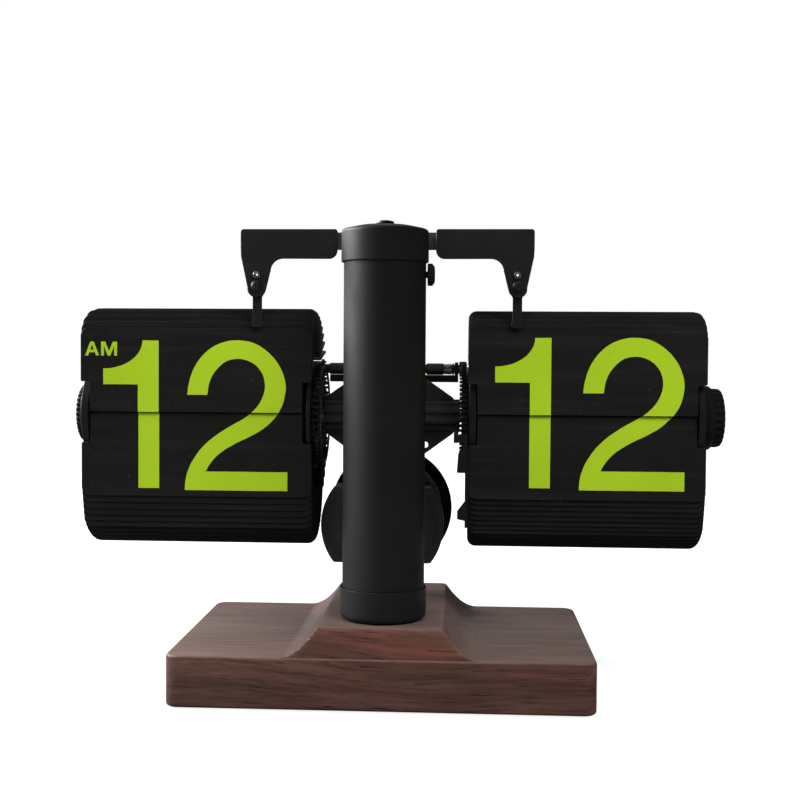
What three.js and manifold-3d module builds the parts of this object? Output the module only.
// Flip number clock: a wooden base with a raised ridge, a slim upright battery tube,
// and two cantilevered flip drums (hours on the left, minutes on the right). Two spring
// fingers on flat arms end just above the front flaps.
// Millimetres. X runs to the right, Y runs to the back, Z is up.
// The origin is the centre of the resting face under the base.
import * as THREE from 'three';
import { mergeVertices } from 'three/addons/utils/BufferGeometryUtils.js';
import Module from 'manifold-3d';

const wasm = await Module();
wasm.setup();

// ---------------------------------------------------------------- shared dimensions
const GAP = 0.3; // clearance between neighbouring solids
const THIRD_TURN = (2 * Math.PI) / 3;

const POST_Y = -21;
const POST_AXIS = [0, POST_Y]; // (x, y)
const POST_BORE_SCREW_R = 2.3; // hole for the long screw, in base and collar
const CROSSBAR_SCREW = [0, 121.5]; // (x, z)
const FRAME_SCREWS = { upper: [0, 104], lower: [0, 66] }; // (x, z)

const AXIS_Y = 5.0;
const AXIS_Z = 84.0;
const DRUM_AXIS = [AXIS_Y, AXIS_Z]; // (y, z), common to both drums
const AXLE_R = 1.6;
const AXLE_BORE_R = AXLE_R + GAP;
const DISC_R = 17.2;
const FLAP_HALF_W = 36.3;
const MINUTE_X = 61.6; // display centres
const HOUR_X = -59.6;

const SHAFT_Y = 16.0;
const SHAFT_Z = 98.9;
const SHAFT_AXIS = [SHAFT_Y, SHAFT_Z]; // (y, z) of the two transfer shafts
const TEETH = { minute: 60, hour: 48, pinion: 8, idler: 48, reduction: 40 };
// drum axis to transfer shafts
const SHAFT_ANGLE = Math.atan2(SHAFT_Z - AXIS_Z, SHAFT_Y - AXIS_Y);
const SHAFT_DISTANCE = Math.hypot(SHAFT_Z - AXIS_Z, SHAFT_Y - AXIS_Y);
const moduleOf = (distance, teethA, teethB) => (2 * distance) / (teethA + teethB);
const MINUTE_MODULE = moduleOf(SHAFT_DISTANCE, TEETH.minute, TEETH.pinion);
const HOUR_MODULE = moduleOf(SHAFT_DISTANCE, TEETH.hour, TEETH.pinion);

const CAN_X = -2.3; // movement housing centre
const CAN_Z = 48.05;
const CAN_AXIS = [CAN_X, CAN_Z];
const CAN_FRONT_Y = 6.9;
const CAN_BACK_Y = 21.0;
const MOVEMENT_SCREW = [CAN_X, 57.3]; // (x, z), through the foot of the frame

// ---------------------------------------------------------------- materials
const FINISHES = {
  wood: { color: 0x4a322b, roughness: 0.62, metalness: 0.0 },
  felt: { color: 0x15130f, roughness: 0.95, metalness: 0.0 },
  blackMetal: { color: 0x1d1d1f, roughness: 0.45, metalness: 0.6 },
  blackPlastic: { color: 0x171717, roughness: 0.5, metalness: 0.0 },
  flap: { color: 0x1b1a19, roughness: 0.55, metalness: 0.0 },
  steel: { color: 0xb8b8b6, roughness: 0.3, metalness: 1.0 },
  darkSteel: { color: 0x3a3a3b, roughness: 0.4, metalness: 0.9 },
  brass: { color: 0xa8894f, roughness: 0.35, metalness: 1.0 },
  cell: { color: 0x3c4a3a, roughness: 0.4, metalness: 0.3 },
  copper: { color: 0x8a4a2c, roughness: 0.35, metalness: 1.0 },
  fibre: { color: 0x5d5447, roughness: 0.85, metalness: 0.0 },
};

// ---------------------------------------------------------------- solids
function solid(source) {
  for (const key of Object.keys(source.attributes)) {
    if (key !== 'position') source.deleteAttribute(key);
  }
  const merged = mergeVertices(source, 1e-4);
  return new wasm.Manifold(new wasm.Mesh({
    numProp: 3,
    vertProperties: new Float32Array(merged.attributes.position.array),
    triVerts: new Uint32Array(merged.index.array),
  }));
}

function geometryOf(body) {
  const mesh = body.getMesh();
  const geometry = new THREE.BufferGeometry();
  const positions = new Float32Array(mesh.vertProperties);
  geometry.setAttribute('position', new THREE.BufferAttribute(positions, 3));
  geometry.setIndex(new THREE.BufferAttribute(new Uint32Array(mesh.triVerts), 1));
  geometry.computeVertexNormals();
  return geometry;
}

const group = new THREE.Group();
group.name = 'flip_number_clock';

function add(name, body, finish) {
  const mesh = new THREE.Mesh(geometryOf(body), new THREE.MeshStandardMaterial(FINISHES[finish]));
  mesh.name = name;
  group.add(mesh);
}

const union = (...bodies) => bodies.reduce((whole, part) => whole.add(part));
const cut = (body, ...tools) => tools.reduce((rest, tool) => rest.subtract(tool), body);
const sorted = (a, b) => (a < b ? [a, b] : [b, a]);

// axis-aligned block from its two corners
function box(x0, x1, y0, y1, z0, z1) {
  const geometry = new THREE.BoxGeometry(x1 - x0, y1 - y0, z1 - z0);
  return solid(geometry.translate((x0 + x1) / 2, (y0 + y1) / 2, (z0 + z1) / 2));
}

// turns a body made along +Y onto an axis; the centre holds the other two coordinates
function alongAxis(geometry, axis, [u, v]) {
  if (axis === 'x') geometry.rotateZ(-Math.PI / 2).translate(0, u, v);
  if (axis === 'y') geometry.translate(u, 0, v);
  if (axis === 'z') geometry.rotateX(Math.PI / 2).translate(u, v, 0);
  return solid(geometry);
}

// radius may be [at from, at to]
function cylinder(axis, radius, from, to, centre, sides) {
  const [start, end] = Array.isArray(radius) ? radius : [radius, radius];
  const geometry = new THREE.CylinderGeometry(end, start, to - from, sides);
  return alongAxis(geometry.translate(0, (from + to) / 2, 0), axis, centre);
}

// profile = [[radius, position along the axis], ...], closing on the axis
function lathe(axis, profile, centre, sides) {
  const points = profile.map(([radius, along]) => new THREE.Vector2(radius, along));
  return alongAxis(new THREE.LatheGeometry(points, sides), axis, centre);
}

// The outline is in (Y, Z), (X, Z) or (X, Y) for an extrusion along X, Y or Z.
function extrude(axis, outline, from, to, holes = []) {
  const vectors = (points) => points.map(([u, v]) => new THREE.Vector2(u, v));
  const shape = new THREE.Shape(vectors(outline));
  shape.holes = holes.map((hole) => new THREE.Path(vectors(hole)));
  const options = { depth: to - from, bevelEnabled: false, steps: 1 };
  const rows = {
    x: [0, 0, 1, from, 1, 0, 0, 0, 0, 1, 0, 0],
    y: [1, 0, 0, 0, 0, 0, -1, to, 0, 1, 0, 0],
    z: [1, 0, 0, 0, 0, 1, 0, 0, 0, 0, 1, from],
  }[axis];
  const matrix = new THREE.Matrix4().set(...rows, 0, 0, 0, 1);
  return solid(new THREE.ExtrudeGeometry(shape, options).applyMatrix4(matrix));
}

// ---------------------------------------------------------------- outlines
const polar = ([u, v], radius, angle) => [
  u + radius * Math.cos(angle),
  v + radius * Math.sin(angle),
];
const circle = (radius, centre, count) =>
  Array.from({ length: count }, (_, i) => polar(centre, radius, (2 * Math.PI * i) / count));

// arc between two angles in degrees
const arc = (centre, radius, start, end, steps) =>
  Array.from({ length: steps + 1 }, (_, i) =>
    polar(centre, radius, THREE.MathUtils.degToRad(start + ((end - start) * i) / steps)));

const roundedRect = (u0, u1, v0, v1, radius, steps) => [
  ...arc([u1 - radius, v0 + radius], radius, -90, 0, steps),
  ...arc([u1 - radius, v1 - radius], radius, 0, 90, steps),
  ...arc([u0 + radius, v1 - radius], radius, 90, 180, steps),
  ...arc([u0 + radius, v0 + radius], radius, 180, 270, steps),
];

// the same points across x = 0, in reverse order
const mirror = (points) => points.map(([x, other]) => [-x, other]).reverse();

// closed outline repeating [[radius, offset in pitches], ...] round a centre
function toothed(count, tooth, phase, centre) {
  const pitch = (2 * Math.PI) / count;
  return Array.from({ length: count }, (_, i) =>
    tooth.map(([radius, offset]) => polar(centre, radius, phase + (i + offset) * pitch))).flat();
}

// wheel with pointed teeth; one tooth is centred on the angle phase
function wheelOutline(count, module, phase, centre) {
  const pitchR = (count * module) / 2;
  const root = pitchR - 1.1 * module;
  const tip = pitchR + 0.8 * module;
  return toothed(count, [[root, -0.24], [tip, 0], [root, 0.24]], phase, centre);
}

// flat-topped pinion solid along X
function pinion(module, phase, centre, x0, x1) {
  const pitchR = (TEETH.pinion * module) / 2;
  const root = pitchR - 1.1 * module;
  const tip = pitchR + 0.7 * module;
  const tooth = [[root, -0.17], [tip, -0.06], [tip, 0.06], [root, 0.17]];
  return extrude('x', toothed(TEETH.pinion, tooth, phase, centre), x0, x1);
}

// cylinder on the axis of the battery post
const postCylinder = (radius, z0, z1, sides = 24) =>
  cylinder('z', radius, z0, z1, POST_AXIS, sides);

// ================================================================ base
const BASE_W = 125.4;
const BASE_D = 80;
const BASE_TOP = 15.65;
const BASE_BOTTOM = 0.4;
const RIDGE_TOP = 24.0;
const RIDGE_HALF_TOP = 18.3;
const RIDGE_HALF_FOOT = 29.0;
const RIDGE_FRONT = -36.4; // ends of the flat top
const RIDGE_BACK = 37.0;
const PAD_T = 1.0;
const PAD_INSET = 4.0;
const SCREW_RECESS_R = 5.2;

const baseOutline = (inset, cornerR, steps) => roundedRect(
  -BASE_W / 2 + inset, BASE_W / 2 - inset, -BASE_D / 2 + inset, BASE_D / 2 - inset, cornerR, steps);

// ridge across the depth: flat top, concave flanks, sloping ends
function ridge() {
  const flank = (t) => [
    RIDGE_HALF_TOP + (RIDGE_HALF_FOOT - RIDGE_HALF_TOP) * t,
    BASE_TOP + (RIDGE_TOP - BASE_TOP) * (1 - t) ** 2,
  ];
  const side = [
    [RIDGE_HALF_FOOT, BASE_TOP - 1.2],
    [RIDGE_HALF_FOOT - 0.3, BASE_TOP + 0.2],
    ...[0.78, 0.55, 0.32, 0.1].map(flank),
    [RIDGE_HALF_TOP - 0.6, RIDGE_TOP],
  ];
  const endCut = (sign, endY) => extrude('x', [
    [sign * (BASE_D / 2 + 5), BASE_TOP - 0.2],
    [sign * (BASE_D / 2 - 0.6), BASE_TOP - 0.2],
    [endY, RIDGE_TOP + 0.01],
    [endY, RIDGE_TOP + 5],
    [sign * (BASE_D / 2 + 5), RIDGE_TOP + 5],
  ], -40, 40);
  const body = extrude('y', [...side, ...mirror(side)], -BASE_D / 2 + 0.5, BASE_D / 2 - 0.5);
  return cut(body, endCut(-1, RIDGE_FRONT), endCut(1, RIDGE_BACK));
}

function baseBlock() {
  return cut(
    union(extrude('z', baseOutline(0, 4.2, 6), BASE_BOTTOM, BASE_TOP), ridge()),
    extrude('z', baseOutline(PAD_INSET - GAP, 3.5, 4), BASE_BOTTOM - 1, PAD_T + GAP),
    postCylinder(POST_BORE_SCREW_R, -1, 30, 14),
    postCylinder(SCREW_RECESS_R, -1, 8, 14),
  );
}

function postScrew() {
  const head = postCylinder(4.6, 5.2, 7.7, 14);
  const hexSocket = postCylinder(2.0, 4, 6.6, 6);
  return cut(union(head, postCylinder(2.0, 7.6, 34.0, 12)), hexSocket);
}

add('base_block', baseBlock(), 'wood');
add('base_pad', extrude('z', baseOutline(PAD_INSET, 3.2, 4), 0, PAD_T,
  [circle(SCREW_RECESS_R, POST_AXIS, 20)]), 'felt');
add('post_screw', postScrew(), 'darkSteel');

// ================================================================ battery post
const POST_R = 12.35;
const POST_BORE_R = POST_R - 1.0; // 1 mm wall
const POST_BOTTOM = 26.2;
const POST_TOP = 138.6;
const COLLAR_R = 12.95;
const COLLAR_BOTTOM = 24.3;
const COLLAR_TOP = 33.6;
const CAP_R = 13.1;
const CAP_BOTTOM = 131.0;
const CAP_EDGE_Z = 140.6;
const CAP_TOP = 142.2;
const THUMBSCREW_AXIS = [POST_Y, 127.3]; // (y, z)

function postTube() {
  const screwHoles = [FRAME_SCREWS.upper, FRAME_SCREWS.lower, CROSSBAR_SCREW];
  return cut(
    postCylinder(POST_R, POST_BOTTOM, POST_TOP),
    postCylinder(POST_BORE_R, POST_BOTTOM - 1, POST_TOP + 1),
    cylinder('x', 1.3, 9, 14, THUMBSCREW_AXIS, 8),
    ...screwHoles.map((centre) => cylinder('y', 1.3, -12, -7, centre, 8)),
  );
}

// cup round the foot of the tube, with a spigot inside it that takes the long screw
function bottomCollar() {
  const cup = lathe('z', [
    [0, COLLAR_BOTTOM],
    [COLLAR_R - 1.6, COLLAR_BOTTOM],
    [COLLAR_R - 0.7, COLLAR_BOTTOM + 0.25],
    [COLLAR_R - 0.15, COLLAR_BOTTOM + 0.9],
    [COLLAR_R, COLLAR_BOTTOM + 1.8],
    [COLLAR_R, COLLAR_TOP],
    [0, COLLAR_TOP],
  ], POST_AXIS, 24);
  const hollow = cut(cup, postCylinder(POST_R + 0.25, COLLAR_BOTTOM + 1.6, COLLAR_TOP + 1));
  const spigot = postCylinder(POST_BORE_R - GAP, COLLAR_BOTTOM + 1.0, 40.0);
  return cut(union(hollow, spigot), postCylinder(POST_BORE_SCREW_R, 20, 36, 12));
}

// lower contact spring
function contactSpring() {
  const [coilR, turns, bottom, height, wireR, samples] = [4.6, 5.5, 40.9, 18.0, 0.55, 72];
  const path = Array.from({ length: samples + 1 }, (_, i) => {
    const fraction = i / samples;
    const [x, y] = polar(POST_AXIS, coilR, fraction * 2 * Math.PI * turns);
    return new THREE.Vector3(x, y, bottom + height * fraction);
  });
  const wire = new THREE.Shape(circle(wireR, [0, 0], 4).map(([u, v]) => new THREE.Vector2(u, v)));
  return solid(new THREE.ExtrudeGeometry(wire, {
    steps: 50,
    extrudePath: new THREE.CatmullRomCurve3(path),
    bevelEnabled: false,
  }));
}

function batteryCell() {
  return lathe('z', [
    [0, 60.4], [4.5, 60.4], [4.6, 60.7], [7.0, 60.7], [7.15, 61.0], [7.15, 109.3],
    [6.8, 109.8], [2.7, 109.8], [2.7, 110.9], [0, 110.9],
  ], POST_AXIS, 20);
}

// outer skirt over the tube, inner plug, shallow dome
function batteryCap() {
  const blank = lathe('z', [
    [0, 130.2],
    [10.7, 130.2],
    [10.7, CAP_BOTTOM + 0.001],
    [CAP_R - 0.25, CAP_BOTTOM],
    [CAP_R, CAP_BOTTOM + 0.3],
    [CAP_R, CAP_EDGE_Z - 1.1],
    [CAP_R - 0.35, CAP_EDGE_Z - 0.35],
    [CAP_R - 1.2, CAP_EDGE_Z + 0.1],
    [8, 141.6],
    [3.5, CAP_TOP],
    [0, CAP_TOP + 0.1],
  ], POST_AXIS, 24);
  const tubeSlot = cut(
    postCylinder(POST_R + GAP, 120, POST_TOP + 0.4),
    postCylinder(POST_BORE_R - 0.35, 110, 150),
  );
  const studHoles = [postCylinder(2.1, 138.5, 150, 12), postCylinder(1.3, 120, 140, 10)];
  return cut(blank, tubeSlot, ...studHoles);
}

function capContactStud() {
  return lathe('z', [
    [0, 112.0], [3.4, 112.0], [3.4, 113.2], [1.0, 113.2], [1.0, 139.0], [1.8, 139.0],
    [1.8, 142.5], [2.7, 142.65], [2.5, 143.1], [1.5, 143.45], [0, 143.5],
  ], POST_AXIS, 14);
}

function sideThumbscrew() {
  const flutes = toothed(16, [[3.35, 0], [3.05, 0.5]], 0, THUMBSCREW_AXIS);
  const core = lathe('x', [
    [0, 9.2], [1.0, 9.2], [1.0, 12.9], [3.2, 12.9], [3.0, 14.3], [2.0, 14.9], [0, 15.0],
  ], THUMBSCREW_AXIS, 14);
  return union(extrude('x', flutes, 12.75, 14.0), core);
}

add('post_tube', postTube(), 'blackMetal');
add('bottom_collar', bottomCollar(), 'blackMetal');
add('contact_spring', contactSpring(), 'steel');
add('battery_sleeve',
  cut(postCylinder(POST_BORE_R - GAP, 46.0, 118.0), postCylinder(7.6, 40, 120)), 'fibre');
add('battery_cell', batteryCell(), 'cell');
add('battery_cap', batteryCap(), 'blackMetal');
add('cap_contact_stud', capContactStud(), 'brass');
add('side_thumbscrew', sideThumbscrew(), 'blackPlastic');

// ================================================================ arms and retaining fingers
const ARM_Y = -14.4;
const ARM_T = 1.2;
const ARM_TOP = 141.7;
const ARM_X = 45.0; // outer edge
const FINGER_X = 40.0;
const FINGER_SCREW_Z = 124.3;
const FINGER_TIP_Z = 111.75;
const RIVET_X = 22;
const RIVET_Z = 138.7;

// bent crossbar: a strip behind the cap, two forward legs and two tabs behind the arms
function armCrossbar() {
  const right = [ // (x, y)
    [15.5, -7.4], [15.5, -12.9], [28, -12.9], [28, -11.9], [16.6, -11.9], [16.6, -6.2],
  ];
  const bar = extrude('z', [...right, ...mirror(right)], 136.0, 141.4);
  const tongue = extrude('y', roundedRect(-5, 5, 117.5, 136.5, 2.5, 4), -7.4, -6.2);
  return cut(
    union(bar, tongue),
    cylinder('y', 1.4, -9, -5, CROSSBAR_SCREW, 10),
    ...[-RIVET_X, RIVET_X].map((x) => cylinder('y', 1.1, -14, -11, [x, RIVET_Z], 8)),
  );
}

// right arm seen from the front, (x, z), clockwise from its upper inner corner
const ARM_OUTLINE = [
  ...arc([15.9, ARM_TOP - 0.8], 0.8, 180, 90, 2),
  ...arc([ARM_X - 0.9, ARM_TOP - 0.9], 0.9, 90, 0, 3),
  [ARM_X, 136.0], [ARM_X - 0.15, 133.2], [42.9, 124.0],
  ...arc([40.2, 123.4], 2.6, -10, -80, 4),
  ...arc([39.7, 123.5], 2.5, -100, -165, 4),
  [36.4, 126.2], [35.8, 128.2],
  ...arc([31.8, 128.7], 3.9, 0, 90, 5),
  ...arc([17.7, 135.2], 2.6, 270, 180, 4),
];

// flat blade behind the arm tip, stepping down to just above the front flap
function finger(centre) {
  const right = [ // (x from the blade's centre line, z)
    [1.2, FINGER_TIP_Z], [1.7, FINGER_TIP_Z + 0.4], [1.75, 113.4], [1.45, 113.9],
    [1.45, 120.9], [2.0, 121.8],
  ];
  const eye = arc([0, FINGER_SCREW_Z], 2.3, 0, 180, 8);
  const outline = [...right, ...eye, ...mirror(right)].map(([x, z]) => [centre[0] + x, z]);
  return cut(extrude('y', outline, -12.9, -12.3), cylinder('y', 1.3, -14, -11, centre, 10));
}

function fingerScrew(centre) {
  const body = lathe('y', [
    [0, -16.0], [0.9, -15.95], [1.5, -15.6], [1.6, -15.1], [1.6, -14.7], [0.7, -14.7],
    [0.7, -11.4], [0, -11.4],
  ], centre, 12);
  return cut(body, box(centre[0] - 0.25, centre[0] + 0.25, -17, -15.5, 122, 127));
}

function armSet(side, sign) {
  const screw = [sign * FINGER_X, FINGER_SCREW_Z];
  const eyelet = [sign * (FINGER_X - 0.1), 127.7];
  const rivet = [sign * RIVET_X, RIVET_Z];
  add(`arm_${side}`, cut(
    extrude('y', ARM_OUTLINE.map(([x, z]) => [sign * x, z]), ARM_Y, ARM_Y + ARM_T),
    cylinder('y', 1.0, -16, -12, screw, 10),
    cylinder('y', 0.85, -16, -12, eyelet, 10),
    cylinder('y', 1.1, -16, -12, rivet, 8),
  ), 'blackMetal');
  add(`arm_rivet_${side}`, union(
    cylinder('y', 0.8, -14.2, -11.2, rivet, 8),
    cylinder('y', 1.5, -11.6, -10.9, rivet, 10),
  ), 'darkSteel');
  add(`finger_${side}`, finger(screw), 'darkSteel');
  add(`finger_screw_${side}`, fingerScrew(screw), 'blackMetal');
  add(`adjuster_eyelet_${side}`, cut(
    union(
      cylinder('y', 0.6, -15.0, -13.3, eyelet, 8),
      cylinder('y', 1.15, -15.1, -14.7, eyelet, 10),
    ),
    cylinder('y', 0.35, -16, -12, eyelet, 8),
  ), 'steel');
}

add('arm_crossbar', armCrossbar(), 'blackMetal');
add('crossbar_screw', union(
  cylinder('y', 1.0, -9.6, -5.7, CROSSBAR_SCREW, 8),
  cylinder('y', [2.3, 1.9], -5.9, -4.5, CROSSBAR_SCREW, 12),
), 'darkSteel');
armSet('left', -1);
armSet('right', 1);

// ================================================================ frame between the drums
const FRAME_HALF_T = 1.3;

function axleFrame() {
  const right = [ // (x, z)
    [9, AXIS_Z - 14], [12.6, AXIS_Z - 11.5], [20.7, AXIS_Z - 5.6], [20.7, AXIS_Z + 5.7],
    [12.6, AXIS_Z + 11.3], [9.7, AXIS_Z + 12.2], [9.2, AXIS_Z + 10.3],
  ];
  const web = [[0, AXIS_Z - 14.5], ...right, [0, AXIS_Z + 10.3], ...mirror(right)];
  const plate = (outline) => extrude('y', outline, AXIS_Y - FRAME_HALF_T, AXIS_Y + FRAME_HALF_T);
  const screws = Object.values(FRAME_SCREWS);
  return cut(
    union(
      plate(web),
      cylinder('x', 5.3, -20.9, 22.7, DRUM_AXIS, 24),
      plate(roundedRect(-6.5, 6.5, 60.0, 108.0, 3, 4)),
      plate(roundedRect(-8.4, 7.4, 54.5, 63.5, 2.5, 4)),
      ...screws.map((centre) => cylinder('y', 3.4, -8.1, AXIS_Y, centre, 14)),
    ),
    cylinder('x', AXLE_BORE_R, -30, 30, DRUM_AXIS, 14),
    ...screws.map((centre) => cylinder('y', 1.35, -20, 30, centre, 10)),
    cylinder('y', 1.1, 0, 30, MOVEMENT_SCREW, 8),
  );
}

function frameScrew(centre, headBack) {
  return union(
    cylinder('y', 1.0, -9.6, AXIS_Y + 1.7, centre, 8),
    cylinder('y', 2.2, AXIS_Y + 1.6, headBack, centre, 12),
  );
}

add('axle_frame', axleFrame(), 'blackMetal');
add('movement_screw', union(
  cylinder('y', 0.8, AXIS_Y - 1.8, CAN_FRONT_Y + 1.2, MOVEMENT_SCREW, 8),
  cylinder('y', 2.0, AXIS_Y - 2.6, AXIS_Y - 1.6, MOVEMENT_SCREW, 12),
), 'darkSteel');
add('frame_screw_upper', frameScrew(FRAME_SCREWS.upper, AXIS_Y + 3.0), 'darkSteel');
add('frame_screw_lower', frameScrew(FRAME_SCREWS.lower, AXIS_Y + 1.8), 'darkSteel');

// ================================================================ drums
const DISC_T = 2.1;
const DRUM_HALF_W = FLAP_HALF_W - 0.3; // discs sit just inside the flap edges
const SPOOL_R = 4.6;
const FLANGE_R = 11.5;
const FLANGE_T = 1.4;

// spool between the discs, with a flange at each end
function spool(centreX) {
  const x0 = centreX - DRUM_HALF_W + DISC_T + GAP;
  const x1 = centreX + DRUM_HALF_W - DISC_T - GAP;
  return cut(
    union(
      cylinder('x', SPOOL_R, x0, x1, DRUM_AXIS, 16),
      cylinder('x', FLANGE_R, x0, x0 + FLANGE_T, DRUM_AXIS, 22),
      cylinder('x', FLANGE_R, x1 - FLANGE_T, x1, DRUM_AXIS, 22),
    ),
    cylinder('x', AXLE_BORE_R, x0 - 1, x1 + 1, DRUM_AXIS, 12),
  );
}

function drumGear({ teeth, module, phase, x }) {
  const outline = wheelOutline(teeth, module, phase, DRUM_AXIS);
  const windows = [0, 1, 2].map((k) =>
    cylinder('x', 3.4, -200, 200, polar(DRUM_AXIS, 8.6, k * THIRD_TURN), 8));
  return cut(extrude('x', outline, ...x, [circle(AXLE_BORE_R, DRUM_AXIS, 12)]), ...windows);
}

// flange, fluted grip and domed outer end
function drumKnob(sign, { flange, grip, end }) {
  const profile = [
    [0, grip - sign * 0.3],
    [8.7, grip - sign * 0.3],
    [8.6, end - sign * 1.0],
    [7.6, end - sign * 0.3],
    [6, end],
    [0, end],
  ];
  if (sign < 0) profile.reverse(); // a lathe profile runs towards +X
  const flutes = toothed(24, [[9.35, 0], [8.75, 0.5]], 0, DRUM_AXIS);
  return cut(
    union(
      cylinder('x', 10.2, ...sorted(flange, grip), DRUM_AXIS, 24),
      extrude('x', flutes, ...sorted(grip - sign * 0.2, end - sign * 0.9)),
      lathe('x', profile, DRUM_AXIS, 22),
    ),
    cylinder('x', AXLE_BORE_R, ...sorted(flange - sign, end - sign * 0.9), DRUM_AXIS, 12),
  );
}

// sign points outwards along X; knob holds the X of its flange start, grip start and outer end
function drum({ name, sign, centreX, gear, knob }) {
  for (const [place, outwards] of [['inner', -sign], ['outer', sign]]) {
    const face = centreX + outwards * DRUM_HALF_W;
    const [x0, x1] = sorted(face - outwards * DISC_T, face);
    const holes = [circle(AXLE_BORE_R, DRUM_AXIS, 12)];
    const disc = extrude('x', circle(DISC_R, DRUM_AXIS, 40), x0, x1, holes);
    add(`${name}_disc_${place}`, disc, 'blackPlastic');
  }
  add(`${name}_spool`, spool(centreX), 'blackPlastic');
  add(`${name}_gear`, drumGear(gear), 'blackPlastic');
  const axleSpan = sorted(sign * 0.6, knob.end - sign * 1.2);
  add(`${name}_axle`, cylinder('x', AXLE_R, ...axleSpan, DRUM_AXIS, 12), 'steel');
  add(`${name}_knob`, drumKnob(sign, knob), 'blackPlastic');
}

drum({
  name: 'minute',
  sign: 1,
  centreX: MINUTE_X,
  gear: { teeth: TEETH.minute, module: MINUTE_MODULE, phase: SHAFT_ANGLE, x: [23.2, 24.9] },
  knob: { flange: 98.4, grip: 101.9, end: 105.3 },
});
drum({
  name: 'hour',
  sign: -1,
  centreX: HOUR_X,
  gear: {
    teeth: TEETH.hour,
    module: HOUR_MODULE,
    phase: SHAFT_ANGLE + Math.PI / TEETH.hour,
    x: [-22.9, -21.2],
  },
  knob: { flange: -96.6, grip: -98.4, end: -100.2 },
});

// ================================================================ flaps
const PIVOT_R = 16.5; // radius of the ring of flap pivots
const FLAP_H = 25.2;
const FLAP_T = 0.5;
const FLAP_CORNER = 2.6;
const NOTCH_W = 2.8;
const NOTCH_H = 9.4;
const SPLIT_Z = AXIS_Z + 1.0; // line between the upper and lower front flaps
const SPLIT_HALF_GAP = 0.12;
const PACK_BACK_Y = AXIS_Y + PIVOT_R + 1.0;
const HANG_STEPS = 14;
const HANG_STEP_Z = 0.6;

// front flap, narrow between the discs near the split; direction +1 stands, -1 hangs
function frontFlap(centreX, direction, height, y0) {
  const corner = [FLAP_HALF_W - FLAP_CORNER, height - FLAP_CORNER];
  const right = [
    [FLAP_HALF_W - NOTCH_W, 0],
    [FLAP_HALF_W - NOTCH_W, NOTCH_H],
    [FLAP_HALF_W, NOTCH_H],
    ...arc(corner, FLAP_CORNER, 0, 90, 4),
  ];
  const outline = [...right, ...mirror(right)].map(([x, z]) =>
    [centreX + x, SPLIT_Z + direction * (SPLIT_HALF_GAP + z)]);
  return extrude('y', outline, y0, y0 + FLAP_T);
}

// flap 0 is the standing front flap; the index grows over the top to the back
function flapPivot(count, index) {
  const halfPitch = (PIVOT_R * Math.PI) / count;
  const first = THREE.MathUtils.radToDeg(Math.asin((SPLIT_Z + halfPitch - AXIS_Z) / PIVOT_R));
  const degrees = first + (index * 360) / count;
  const [y, z] = polar(DRUM_AXIS, PIVOT_R, THREE.MathUtils.degToRad(180 - degrees));
  return { degrees, y, z };
}

// tip (y, z) of a flap behind the front one; it leans back further as its pivot climbs
function flapTip(count, index, spread) {
  const { degrees, y, z } = flapPivot(count, index);
  const slack = 4 + (spread - 4) * Math.min(1, (degrees - 10) / 25);
  const leanDegrees = Math.max(0, degrees - 11 - slack * 0.6) * Math.min(1, (degrees - 8) / 30);
  const lean = THREE.MathUtils.degToRad(leanDegrees);
  return [y + FLAP_H * Math.sin(lean), z + FLAP_H * Math.cos(lean)];
}

// pack of flaps behind the front one, up over the top and down the back, as (y, z)
function fanOutline(count, spread, front) {
  const last = Math.round((186 - front.degrees) / (360 / count));
  const yFront = front.y + FLAP_T / 2 + GAP;
  const outline = [];
  let previous = null;
  for (let i = 1; i <= last; i++) {
    const [y, z] = flapTip(count, i, spread);
    if (previous) {
      // valley between two tips, set in towards the drum axis
      const middleY = (y + previous[0]) / 2;
      const middleZ = (z + previous[1]) / 2;
      const inset = 0.7 / Math.hypot(AXIS_Y - middleY, AXIS_Z - middleZ);
      outline.push([
        middleY + (AXIS_Y - middleY) * inset,
        middleZ + (AXIS_Z - middleZ) * inset,
      ]);
    }
    outline.push([Math.max(yFront, y), z]);
    previous = [y, z];
  }
  while (outline[outline.length - 1][1] < 62) outline.pop();
  // close the pack: down the back, round inside the pivot ring, and to the front
  return [
    ...outline,
    [PACK_BACK_Y + 1.2, 60.5],
    [PACK_BACK_Y, 60.5],
    [PACK_BACK_Y, AXIS_Z + 1],
    ...arc(DRUM_AXIS, PIVOT_R - 1, 5, 155, 15),
    [yFront + 1.3, SPLIT_Z + 3.4],
    [yFront, SPLIT_Z + 3.4],
  ];
}

// flaps hanging from the lower half of the ring, with a stepped lower edge, as (y, z)
function hangingOutline(front) {
  const yFront = front.y + FLAP_T * 1.5 + 2 * GAP;
  const yBack = PACK_BACK_Y - GAP;
  const depthAt = (y, radius) =>
    radius * Math.sqrt(1 - Math.min(1, Math.abs(y - AXIS_Y) / radius) ** 2);
  const bottom = [];
  const top = [];
  for (let i = 0; i <= HANG_STEPS; i++) {
    const y = yFront + ((yBack - yFront) * i) / HANG_STEPS;
    const z = AXIS_Z - depthAt(y, PIVOT_R) - FLAP_H;
    const inFront = i <= HANG_STEPS / 2;
    if (i > 0) bottom.push([y - 0.02, z + (inFront ? HANG_STEP_Z : 0)]);
    bottom.push([y, z + (inFront ? 0 : HANG_STEP_Z)]);
    top.push([y, Math.min(AXIS_Z - depthAt(y, PIVOT_R - 1), AXIS_Z - 1.2)]);
  }
  return [...bottom, ...top.reverse()];
}

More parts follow.
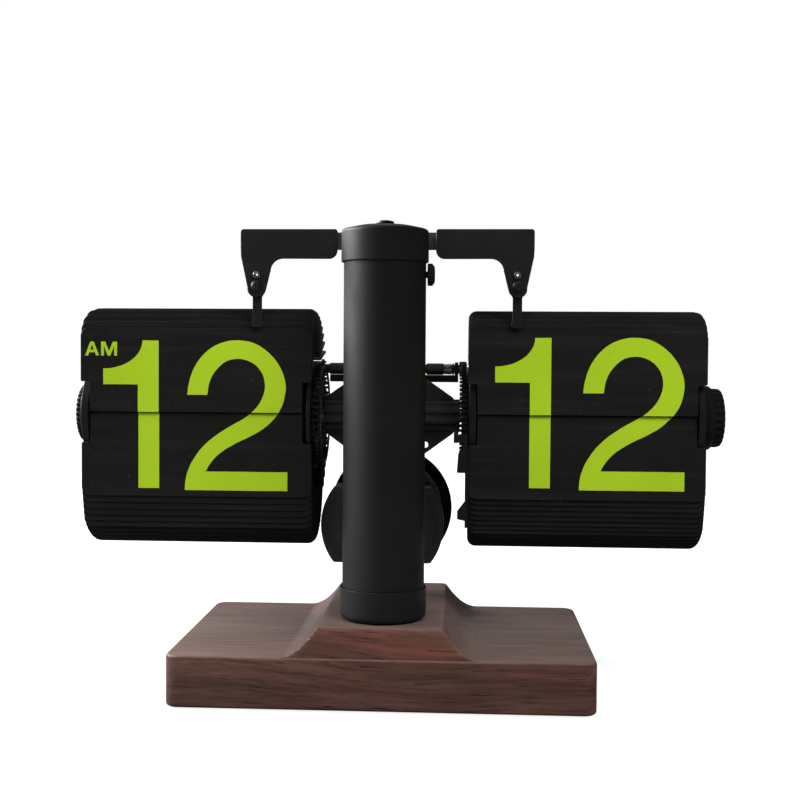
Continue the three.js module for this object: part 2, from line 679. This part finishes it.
function flapSet(name, centreX, count, spread) {
  const front = flapPivot(count, 0);
  const height = front.z + FLAP_H - SPLIT_Z - SPLIT_HALF_GAP;
  const yUpper = front.y - FLAP_T / 2;
  const discRooms = [
    [-FLAP_HALF_W - 1, -FLAP_HALF_W + NOTCH_W],
    [FLAP_HALF_W - NOTCH_W, FLAP_HALF_W + 1],
  ].map(([x0, x1]) => cylinder('x', DISC_R + 0.4, centreX + x0, centreX + x1, DRUM_AXIS, 28));
  const pack = (outline) =>
    cut(extrude('x', outline, centreX - FLAP_HALF_W, centreX + FLAP_HALF_W), ...discRooms);
  add(`${name}_upper_flap`, frontFlap(centreX, 1, height, yUpper), 'flap');
  add(`${name}_lower_flap`, frontFlap(centreX, -1, height, yUpper + FLAP_T + GAP), 'flap');
  add(`${name}_fan_flaps`, pack(fanOutline(count, spread, front)), 'flap');
  add(`${name}_hanging_flaps`, pack(hangingOutline(front)), 'flap');
}

flapSet('minute', MINUTE_X, 60, 6);
flapSet('hour', HOUR_X, 48, 11);

// ================================================================ transfer train behind the post
const SHAFT_R = 1.5;
const SHAFT_BORE_R = SHAFT_R + GAP;
const IDLER_DISTANCE = 12.0;
const IDLER_ANGLE = Math.PI / 3; // idler arbor seen from the transfer shafts
const IDLER_AXIS = polar(SHAFT_AXIS, IDLER_DISTANCE, IDLER_ANGLE);
const IDLER_MODULE = moduleOf(IDLER_DISTANCE, TEETH.pinion, TEETH.idler);
const REDUCTION_MODULE = moduleOf(IDLER_DISTANCE, TEETH.pinion, TEETH.reduction);
const PILLAR_AXIS = [12.5, 86.0]; // (y, z)

// pinions in the minute gear and in the idler
function rightShaft() {
  const minutePhase = SHAFT_ANGLE + Math.PI + Math.PI / TEETH.pinion;
  return union(
    cylinder('x', SHAFT_R, 1.0, 24.9, SHAFT_AXIS, 12),
    cylinder('x', 1.9, 14.5, 20.6, SHAFT_AXIS, 12),
    pinion(MINUTE_MODULE, minutePhase, SHAFT_AXIS, 22.4, 24.8),
    pinion(IDLER_MODULE, IDLER_ANGLE, SHAFT_AXIS, 4.6, 8.8),
  );
}

// carries the reduction gear, with a pinion in the hour gear
function leftShaft() {
  return union(
    cylinder('x', SHAFT_R, -22.6, -1.0, SHAFT_AXIS, 12),
    cylinder('x', 1.9, -20.4, -12.5, SHAFT_AXIS, 12),
    pinion(HOUR_MODULE, SHAFT_ANGLE + Math.PI, SHAFT_AXIS, -23.0, -20.6),
  );
}

function reductionGear() {
  const phase = IDLER_ANGLE + Math.PI / TEETH.reduction;
  const outline = wheelOutline(TEETH.reduction, REDUCTION_MODULE, phase, SHAFT_AXIS);
  const windows = [0, 1, 2].map((k) =>
    cylinder('x', 2.3, -20, 20, polar(SHAFT_AXIS, 5.8, k * THIRD_TURN + 0.7), 8));
  const bore = circle(SHAFT_BORE_R, SHAFT_AXIS, 16);
  return cut(extrude('x', outline, -8.6, -7.0, [bore]), ...windows);
}

function idlerGear() {
  const phase = IDLER_ANGLE + Math.PI + Math.PI / TEETH.idler;
  return union(
    cylinder('x', 1.2, -11.2, 9.8, IDLER_AXIS, 10),
    cylinder('x', 2.6, -5.6, 6.0, IDLER_AXIS, 12),
    extrude('x', wheelOutline(TEETH.idler, IDLER_MODULE, phase, IDLER_AXIS), 5.9, 7.5),
    pinion(REDUCTION_MODULE, IDLER_ANGLE + Math.PI, IDLER_AXIS, -9.1, -5.5),
  );
}

// bearing plate threaded over the axle frame, with a bar below the shaft from bar0 to bar1
function gearPlate(x0, x1, bar0, bar1, ...extras) {
  const bosses = [[DRUM_AXIS, 8.2], [SHAFT_AXIS, 4.4], [IDLER_AXIS, 3.6]];
  const webs = [0, 1].map((i) => {
    const [[a, radiusA], [b, radiusB]] = [bosses[i], bosses[i + 1]];
    const normal = Math.atan2(b[1] - a[1], b[0] - a[0]) + Math.PI / 2;
    return extrude('x', [
      polar(a, radiusA, normal), polar(a, -radiusA, normal),
      polar(b, -radiusB, normal), polar(b, radiusB, normal),
    ], x0, x1);
  });
  return cut(
    union(
      ...bosses.map(([centre, radius]) => cylinder('x', radius, x0, x1, centre, 16)),
      ...webs,
      box(bar0, bar1, SHAFT_Y - 1.6, SHAFT_Y + 1.6, SHAFT_Z - 4.3, SHAFT_Z - 2.1),
      ...extras,
    ),
    cylinder('x', 5.6, x0 - 1, x1 + 1, DRUM_AXIS, 24),
    box(x0 - 1, x1 + 1, AXIS_Y - 20, AXIS_Y + 1.6, AXIS_Z - 20, AXIS_Z + 12),
    cylinder('x', SHAFT_BORE_R, bar0 - 1, bar1 + 1, SHAFT_AXIS, 10),
    cylinder('x', 1.5, x0 - 1, x1 + 1, IDLER_AXIS, 10),
    cylinder('x', 1.0, x0 - 1, x1 + 1, PILLAR_AXIS, 8),
  );
}

add('transfer_shaft_right', rightShaft(), 'darkSteel');
add('transfer_shaft_left', leftShaft(), 'darkSteel');
add('reduction_gear', reductionGear(), 'brass');
add('idler_gear', idlerGear(), 'brass');
add('gear_plate_left', gearPlate(-11.0, -9.6, -20.3, -9.6), 'blackMetal');
const endBearing = box(20.9, 22.1, SHAFT_Y - 2.0, SHAFT_Y + 2.0, SHAFT_Z - 4.3, SHAFT_Z + 2.3);
add('gear_plate_right', gearPlate(9.6, 11.0, 9.6, 22.1, endBearing), 'blackMetal');
add('plate_pillar', union(
  cylinder('x', 1.7, -9.3, 9.3, PILLAR_AXIS, 10),
  cylinder('x', 0.7, -12.2, 12.2, PILLAR_AXIS, 8),
  cylinder('x', 1.5, -12.4, -11.3, PILLAR_AXIS, 10),
  cylinder('x', 1.5, 11.3, 12.4, PILLAR_AXIS, 10),
), 'steel');

// ================================================================ movement under the drums
const CAN_R = 20.0;
const CAN_FLAT = 12.35; // half height between the flats
const CAN_WALL = 1.5;
const RING_AXIS = [-0.2, 51.9]; // (x, z)
const RING_R = 20.4;
const RING_BORE_R = 17.0;
const RING_FRONT_Y = CAN_BACK_Y + 2.5;
const RING_SCREW = [CAN_X, CAN_Z + 7.5]; // (x, z)

// round body with a flat above and below
function flatCan(inset, y0, y1) {
  const flat = CAN_FLAT - inset;
  const outline = circle(CAN_R - inset, CAN_AXIS, 36).map(([x, z]) =>
    [x, Math.max(CAN_Z - flat, Math.min(CAN_Z + flat, z))]);
  return extrude('y', outline, y0, y1);
}

// mounting ring with a thin plate across the back of the movement
function movementRing() {
  const ring = cut(
    cylinder('y', RING_R, RING_FRONT_Y, CAN_BACK_Y + 5.5, RING_AXIS, 34),
    cylinder('y', RING_BORE_R, CAN_BACK_Y, CAN_BACK_Y + 8, RING_AXIS, 34),
  );
  const plate = cylinder('y', RING_BORE_R + 0.6, RING_FRONT_Y, CAN_BACK_Y + 4.0, RING_AXIS, 34);
  return cut(
    union(ring, plate),
    cylinder('y', 3.4, 0, 50, CAN_AXIS, 14),
    cylinder('y', 0.95, 0, 50, RING_SCREW, 8),
  );
}

add('movement_housing', cut(
  flatCan(0, CAN_FRONT_Y, CAN_BACK_Y),
  flatCan(CAN_WALL, CAN_FRONT_Y + CAN_WALL, CAN_BACK_Y + 1),
  cylinder('y', 1.1, 0, CAN_FRONT_Y + 2, MOVEMENT_SCREW, 8),
), 'blackPlastic');
add('movement_cover', cut(
  flatCan(0, CAN_BACK_Y + GAP, CAN_BACK_Y + 2.2),
  cylinder('y', 2.6, 0, 40, CAN_AXIS, 12),
  cylinder('y', 1.0, 0, 40, RING_SCREW, 8),
), 'blackPlastic');
add('movement_ring', movementRing(), 'blackMetal');
add('ring_screw', union(
  cylinder('y', 0.7, CAN_BACK_Y - 1.2, CAN_BACK_Y + 4.5, RING_SCREW, 8),
  cylinder('y', 1.5, CAN_BACK_Y + 4.3, CAN_BACK_Y + 5.2, RING_SCREW, 10),
), 'darkSteel');
add('motor_coil', cut(
  cylinder('y', 9.6, CAN_FRONT_Y + 2.0, CAN_FRONT_Y + 11.0, CAN_AXIS, 20),
  cylinder('y', 6.0, CAN_FRONT_Y, CAN_FRONT_Y + 13, CAN_AXIS, 16),
), 'copper');
add('motor_rotor', union(
  cylinder('y', 5.4, CAN_FRONT_Y + 2.4, CAN_FRONT_Y + 10.6, CAN_AXIS, 14),
  cylinder('y', 1.4, CAN_FRONT_Y + 1.9, CAN_BACK_Y + 4.2, CAN_AXIS, 10),
), 'steel');

export default group;
